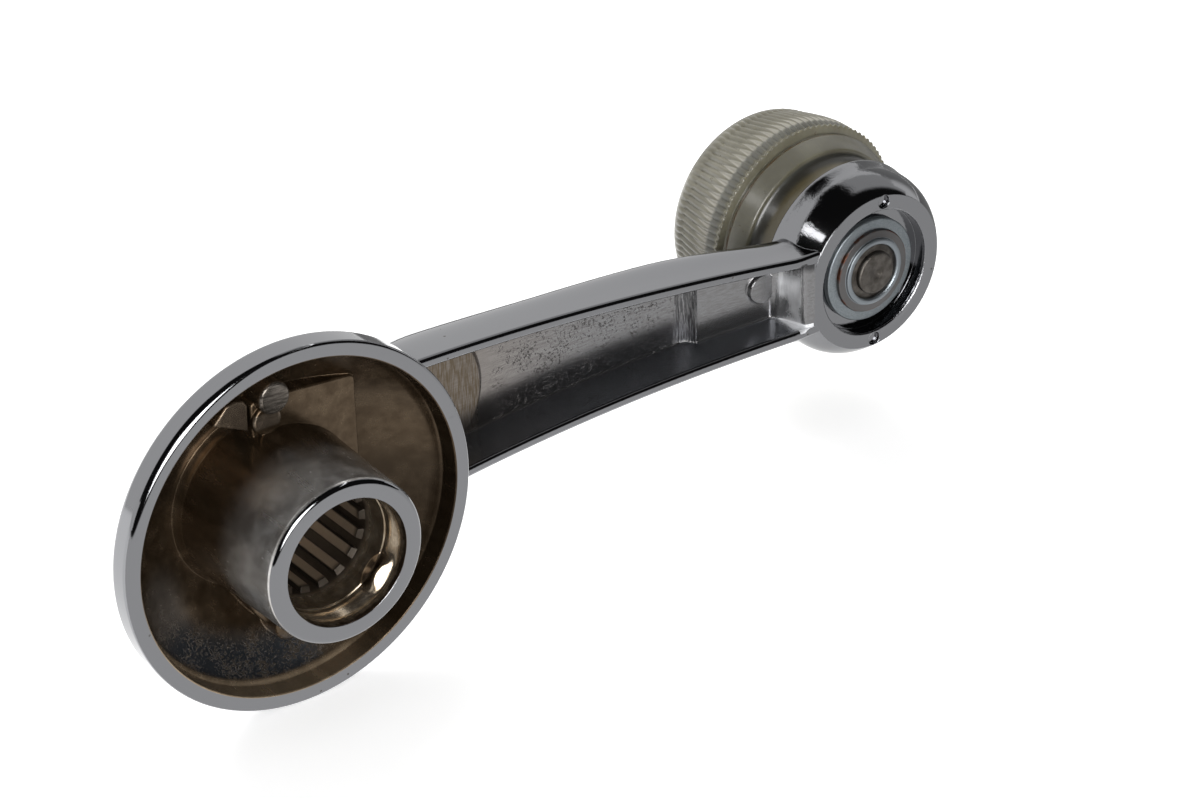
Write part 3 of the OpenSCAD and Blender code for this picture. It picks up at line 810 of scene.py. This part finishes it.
stem_outline += [(stem_r, head_y), (head_r, head_y), (head_r, joint_y), (0, joint_y)]
stem = plain(turned("stem", stem_outline, crank_length, 96), rivet_steel)
washer_r = 7.7
washer_outline = [(4.3, washer_y + 0.1), (4.4, washer_y), (washer_r - 0.2, washer_y)]
washer_outline += [(washer_r - 0.08, washer_y + 0.04), (washer_r, washer_y + 0.14), (washer_r, seat_y - 0.1)]
washer_outline += [(washer_r - 0.1, seat_y - 0.02), (4.3, seat_y - 0.02)]
washer = plain(turned("washer", washer_outline, crank_length, 192), washer_zinc)
lip_y = retainer_y - 0.45
retainer_r = 6.2
retainer_outline = [(4.12, washer_y - 0.02), (4.12, lip_y + 0.2), (4.25, lip_y + 0.05), (4.4, lip_y)]
retainer_outline += [(4.75, lip_y), (4.95, lip_y + 0.12), (5.0, retainer_y - 0.05), (5.1, retainer_y)]
retainer_outline += [(retainer_r - 0.2, retainer_y), (retainer_r - 0.08, retainer_y + 0.05)]
retainer_outline += [(retainer_r, retainer_y + 0.18), (retainer_r, washer_y - 0.02)]
retainer = plain(turned("retainer", retainer_outline, crank_length, 192), retainer_steel)
spring_outline = [(4.46, neck_y - 0.5), (4.46, neck_y - 0.02)]
spring_outline += [(9.7, ring_back + 0.5), (9.7, ring_back + 0.02)]
spring = plain(turned("spring", spring_outline, crank_length, 128), spring_steel)
for piece, body, node, slot in (
    (stem, "knob", "knob_stem", "stem_steel"),
    (retainer, "knob", "push_on_retainer", "retainer_steel"),
    (washer, "crank", "flat_washer", "washer_zinc"),
    (spring, "crank", "spring_washer", "spring_steel"),
):
    smoothed(piece, 35)
    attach(piece, body)
    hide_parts(node)


# The knob. A moulded base with a narrow neck and a collar, and a ribbed cap glued on it, both in smoky
# plastic. The stem's head is held between the two, and a thin brown line of glue shows at the joint.
rib_count = 96
paint = Paint("smoky_plastic")
x, y, z = paint.axes()
cloud = paint.noise(6, 3.0)
mottle = paint.noise(1.1, 3.0)
glue = y.band(joint_y - 0.35, joint_y - 0.1, joint_y + 0.1, joint_y + 0.4)
colour = paint.blend(cloud.ramp(0.35, 0.7), (0.112, 0.104, 0.072), (0.155, 0.146, 0.106))
# Painted shade: the concave neck below the collar is painted dark brown.
cove = y.ramp(neck_y + 3.6, neck_y + 2.8)
colour = paint.blend(cove * 0.85, colour, (0.07, 0.054, 0.02))
# Painted highlight: a pale tapering streak on each rib, as light that runs inside the clear plastic would
# show.
rib_shift = 200.5
rib_turn = z.maths("ARCTAN2", z, x - crank_length) * (rib_count / math.tau) + rib_shift
wave = rib_turn.maths("FRACT", rib_turn) - 0.5
wave = wave.maths("ABSOLUTE", wave) * 2
taper = 1 - (y - (joint_y + 3.1)) / 3.8
painted_rib_streak = (taper - wave).ramp(-0.05, 0.3) * y.ramp(joint_y + 2.9, joint_y + 3.4)
colour = paint.blend(painted_rib_streak * 0.85, colour, (0.34, 0.325, 0.28))
clear = y.band(joint_y + 1.7, joint_y + 2.1, joint_y + 2.9, joint_y + 3.6)
colour = paint.blend(clear * 0.5, colour, (0.09, 0.095, 0.095))
collar = y.band(neck_y + 3.55, neck_y + 3.7, joint_y - 0.35, joint_y - 0.2)
line_values = {"W": rib_turn, "Scale": 2.2, "Detail": 1.0}
lines = paint.node("ShaderNodeTexNoise", {"noise_dimensions": "1D"}, line_values)
colour = paint.blend(collar * (lines * 0.3 + 0.2), colour, (0.1, 0.1, 0.095))
# Painted reflection: a near-black band just under the collar's edge.
under = y.band(neck_y + 1.6, neck_y + 2.6, neck_y + 3.35, neck_y + 3.55)
colour = paint.blend(under * 0.75, colour, (0.018, 0.02, 0.022))
colour = paint.blend(glue * mottle.ramp(0.3, 0.6) * 0.8, colour, (0.1, 0.062, 0.026))
smoky_plastic = paint.finish(
    Base_Color=colour,
    Roughness=mottle * 0.12 + 0.24,
    IOR=1.49,
    Subsurface_Weight=0.12,
    Subsurface_Scale=0.003,
    Subsurface_Radius=(1.0, 0.9, 0.6),
    Coat_Weight=0.25,
    Coat_Roughness=0.12,
    Normal=paint.bumped(paint.noise(0.5, 3.0) * 0.4 + cloud, 0.03, paint.rounded(0.15)),
)
neck_r = ring_r - 1.6
collar_r = 15.2
quarter = [math.radians(90 * i / 16) for i in range(17)]
base_outline = [(stem_r, neck_y), (neck_r - 0.2, neck_y), (neck_r, neck_y + 0.15)]
base_outline += [(neck_r + 1.5 * (1 - math.cos(a)), neck_y + 0.4 + 3.1 * math.sin(a)) for a in quarter]
base_outline += [(neck_r + 1.68, neck_y + 3.53), (neck_r + 1.8, neck_y + 3.66)]
base_outline += [(collar_r + 0.02, joint_y - 0.4), (collar_r + 0.05, joint_y - 0.15)]
base_outline += [(collar_r - 0.15, joint_y), (head_r, joint_y), (head_r, head_y), (stem_r, head_y)]
base = plain(turned("base", base_outline, crank_length, 192), smoky_plastic)

knob_r = 16.45
rib_depth = 0.32
rib_y0 = joint_y + 1.0
rib_y1 = rib_y0 + 8.8
knob_end = neck_y + 22.6
# Each row of the cap holds its radius, its depth and how far the ribs stand out there, from 0 to 1.
cap_rows = [(collar_r - 0.35, joint_y, 0), (collar_r - 0.1, joint_y + 0.02, 0), (collar_r, joint_y + 0.2, 0)]
cap_rows += [(collar_r - 0.15, joint_y + 0.45, 0), (collar_r - 0.05, joint_y + 0.68, 0)]
cap_rows += [(knob_r - 0.4, joint_y + 0.8, 0.2), (knob_r - 0.1, joint_y + 0.88, 0.7)]
cap_rows += [(knob_r, rib_y0 + 0.05, 1)]
cap_rows += [(knob_r - 0.15, rib_y0 + 0.3, 0.9), (knob_r - 0.4, rib_y0 + 0.5, 0.8)]
cap_rows += [(knob_r - 0.38, rib_y0 + 0.7, 0.9)]
widest = 0.3
for i in range(25):
    share = i / 24
    if share < widest:
        fall = 0.3 * (1 - share / widest) ** 2
    else:
        fall = ((share - widest) / (1 - widest)) ** 1.4
    cap_rows.append((knob_r - 0.02 - fall, mix(rib_y0 + 0.9, rib_y1, share), 1))
end_r = knob_r - 1.0
end_round = 4.2
for i in range(1, 13):
    a = math.radians(72 * i / 12)
    radius = end_r - end_round * (1 - math.cos(a))
    cap_rows.append((radius, rib_y1 + end_round * math.sin(a), max(0.0, 1 - i / 5)))
top_r = cap_rows[-1][0]
top_y = cap_rows[-1][1]
for i in range(1, 15):
    share = 1 - i / 14
    cap_rows.append((max(top_r * share, 0.0), top_y + (knob_end - top_y) * (1 - share * share), 0))
rib_points = 8
around = rib_count * rib_points
skin = []
for radius, depth, rib in cap_rows:
    row = []
    for i in range(around):
        a = math.tau * i / around
        groove = abs(2 * ((i / rib_points) % 1) - 1) ** 1.3
        reach = max(0.0, radius - rib * rib_depth * groove)
        row.append((crank_length + reach * math.cos(a), depth, reach * math.sin(a)))
    skin.append(row)
cap = plain(skinned("cap", skin), smoky_plastic)
for piece, node in ((base, "knob_base"), (cap, "knob_cap")):
    smoothed(piece, 50)
    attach(piece, "knob")
    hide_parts(node)


# The studio. A pale floor and a white sky, with a small key lamp in front and a broad lamp behind. Chrome
# shows what it mirrors, so dark cards stand in front of the crank, bright ones give its highlights, and
# grey ones stand behind the ring.
floor_z = -25.35 * MM
paint = Paint("pale_floor")
rays = paint.node("ShaderNodeLightPath", {}, {}, "Is Camera Ray").socket.node.outputs
seen = Wire(paint, rays["Is Camera Ray"]) + Wire(paint, rays["Is Glossy Ray"])
seen = seen + Wire(paint, rays["Is Transmission Ray"])
pale = paint.blend(paint.noise(30, 2.0), (0.8, 0.8, 0.8), (0.82, 0.82, 0.82))
diffuse = paint.node("ShaderNodeBsdfDiffuse", {}, {"Color": pale})
glow = paint.node("ShaderNodeEmission", {}, {"Color": (1, 1, 1, 1), "Strength": 0.5})
both = paint.node("ShaderNodeAddShader", {}, {0: diffuse, 1: glow})
choice = paint.node("ShaderNodeMixShader", {}, {0: seen, 1: diffuse, 2: both})
paint.tree.links.new(choice.socket, paint.out.inputs["Surface"])
bpy.ops.object.select_all(action="DESELECT")
bpy.ops.mesh.primitive_plane_add(size=6, location=(0.05, 0, floor_z))
floor = bpy.context.object
floor.name = "floor"
floor.data.materials.append(paint.material)

# The sky lights the crank softly, and is white where the camera or a mirror sees it.
world = bpy.data.worlds.new("studio")
world.use_nodes = True
bpy.context.scene.world = world
tree = world.node_tree
tree.nodes.clear()
path = tree.nodes.new("ShaderNodeLightPath")
skies = []
for strength in (0.55, 1.0):
    shade = tree.nodes.new("ShaderNodeBackground")
    shade.inputs["Color"].default_value = (1, 1, 1, 1)
    shade.inputs["Strength"].default_value = strength
    skies.append(shade)
either = tree.nodes.new("ShaderNodeMath")
either.operation = "MAXIMUM"
tree.links.new(path.outputs["Is Camera Ray"], either.inputs[0])
again = tree.nodes.new("ShaderNodeMath")
again.operation = "MAXIMUM"
tree.links.new(path.outputs["Is Glossy Ray"], again.inputs[0])
tree.links.new(path.outputs["Is Transmission Ray"], again.inputs[1])
tree.links.new(again.outputs[0], either.inputs[1])
choice = tree.nodes.new("ShaderNodeMixShader")
tree.links.new(either.outputs[0], choice.inputs[0])
tree.links.new(skies[0].outputs[0], choice.inputs[1])
tree.links.new(skies[1].outputs[0], choice.inputs[2])
sky = tree.nodes.new("ShaderNodeOutputWorld")
tree.links.new(choice.outputs[0], sky.inputs["Surface"])

aim = Vector((0.05, 0.02, 0.0))


def lamp(name, direction, distance, size, power):
    """A soft square lamp that faces the object."""
    spot = aim + Vector(direction).normalized() * distance
    bpy.ops.object.light_add(type="AREA", location=spot)
    light = bpy.context.object
    light.name = light.data.name = name
    light.data.shape = "RECTANGLE"
    light.data.size, light.data.size_y = size
    light.data.energy = power
    light.rotation_mode = "QUATERNION"
    light.rotation_quaternion = (aim - spot).to_track_quat("-Z", "Y")
    return light


def card(name, centre, size, turn, shade):
    """A flat card that only reflections see. Its shade is a number, or a function of x and y in metres."""
    bpy.ops.object.select_all(action="DESELECT")
    bpy.ops.mesh.primitive_plane_add(size=1, location=centre, rotation=turn)
    piece = bpy.context.object
    piece.name = name
    piece.scale = (*size, 1)
    bpy.ops.object.transform_apply()
    paint = Paint(name)
    x, y = paint.axes(unit=1.0)[:2]
    strength = shade(x, y) if callable(shade) else shade
    glow = paint.node("ShaderNodeEmission", {}, {"Color": (1, 1, 1, 1), "Strength": strength})
    paint.tree.links.new(glow.socket, paint.out.inputs["Surface"])
    piece.data.materials.append(paint.material)
    piece.visible_camera = False
    piece.visible_diffuse = False
    piece.visible_shadow = False
    piece.visible_transmission = False


lamp("key", (-0.25, -0.94, 0.22), 0.8, (0.4, 0.4), 4.5)
back_lamp = lamp("back", (0.1, 0.8, 0.9), 1.2, (0.9, 0.9), 14)
back_lamp.visible_glossy = False
card("dark_wall", (0, -0.9, 0.9), (8, 2.0), (math.radians(90), 0, 0), 0.012)


def ceiling_shade(x, y):
    """Dark above the front, and white behind, to the right and to the far left."""
    behind = y.ramp(0.6, 0.95)
    right = x.ramp(0.3, 0.45) * y.ramp(-0.3, -0.12) * 0.6
    left = x.ramp(-0.05, -0.25) * y.ramp(0.45, 0.65)
    white = behind + right + left
    return white.maths("MINIMUM", white * 0.99, 0.99) + 0.012


def table_shade(x, y):
    """Dark in front of the crank and pale under it."""
    return y.ramp(-0.17, -0.12) * (0.93 - x.ramp(0.04, 0.12) * 0.17) + 0.012


card("dark_ceiling", (0, -0.5, 1.0), (8, 3.0), (0, 0, 0), ceiling_shade)
card("grey_table", (0, -0.99, floor_z + 0.00001), (8, 2.0), (0, 0, 0), table_shade)
card("strip", (0.033, 0.0, 0.063), (0.014, 0.09), (0, math.radians(133.8), 0), 4.0)
lens_side = Vector((-0.36, -0.87, 0.33)).normalized()
lens_turn = lens_side.to_track_quat("Z", "Y").to_euler()
card("lens_side", aim + lens_side * 0.9, (0.36, 0.36), lens_turn, 4.0)
ring_side = Vector((0.92, 0.4, 0.2)).normalized()
ring_turn = ring_side.to_track_quat("Z", "Y").to_euler()


def side_shade(x, y):
    """White at the card's edges, so that it fades into the sky, and grey between."""
    return 1 - y.ramp(0.1, 0.4) * y.ramp(1.1, 0.9) * 0.7


def back_floor_shade(x, y):
    """Grey near the ring, fading into the pale floor."""
    return 1 - x.ramp(0.12, 0.15) * x.ramp(1.1, 0.6) * y.ramp(0.9, 0.5) * 0.75


card("ring_side", aim + ring_side * 1.4, (1.2, 0.8), ring_turn, side_shade)
card("back_floor", (0.625, 0.45, floor_z + 0.00001), (1.0, 0.9), (0, 0, 0), back_floor_shade)
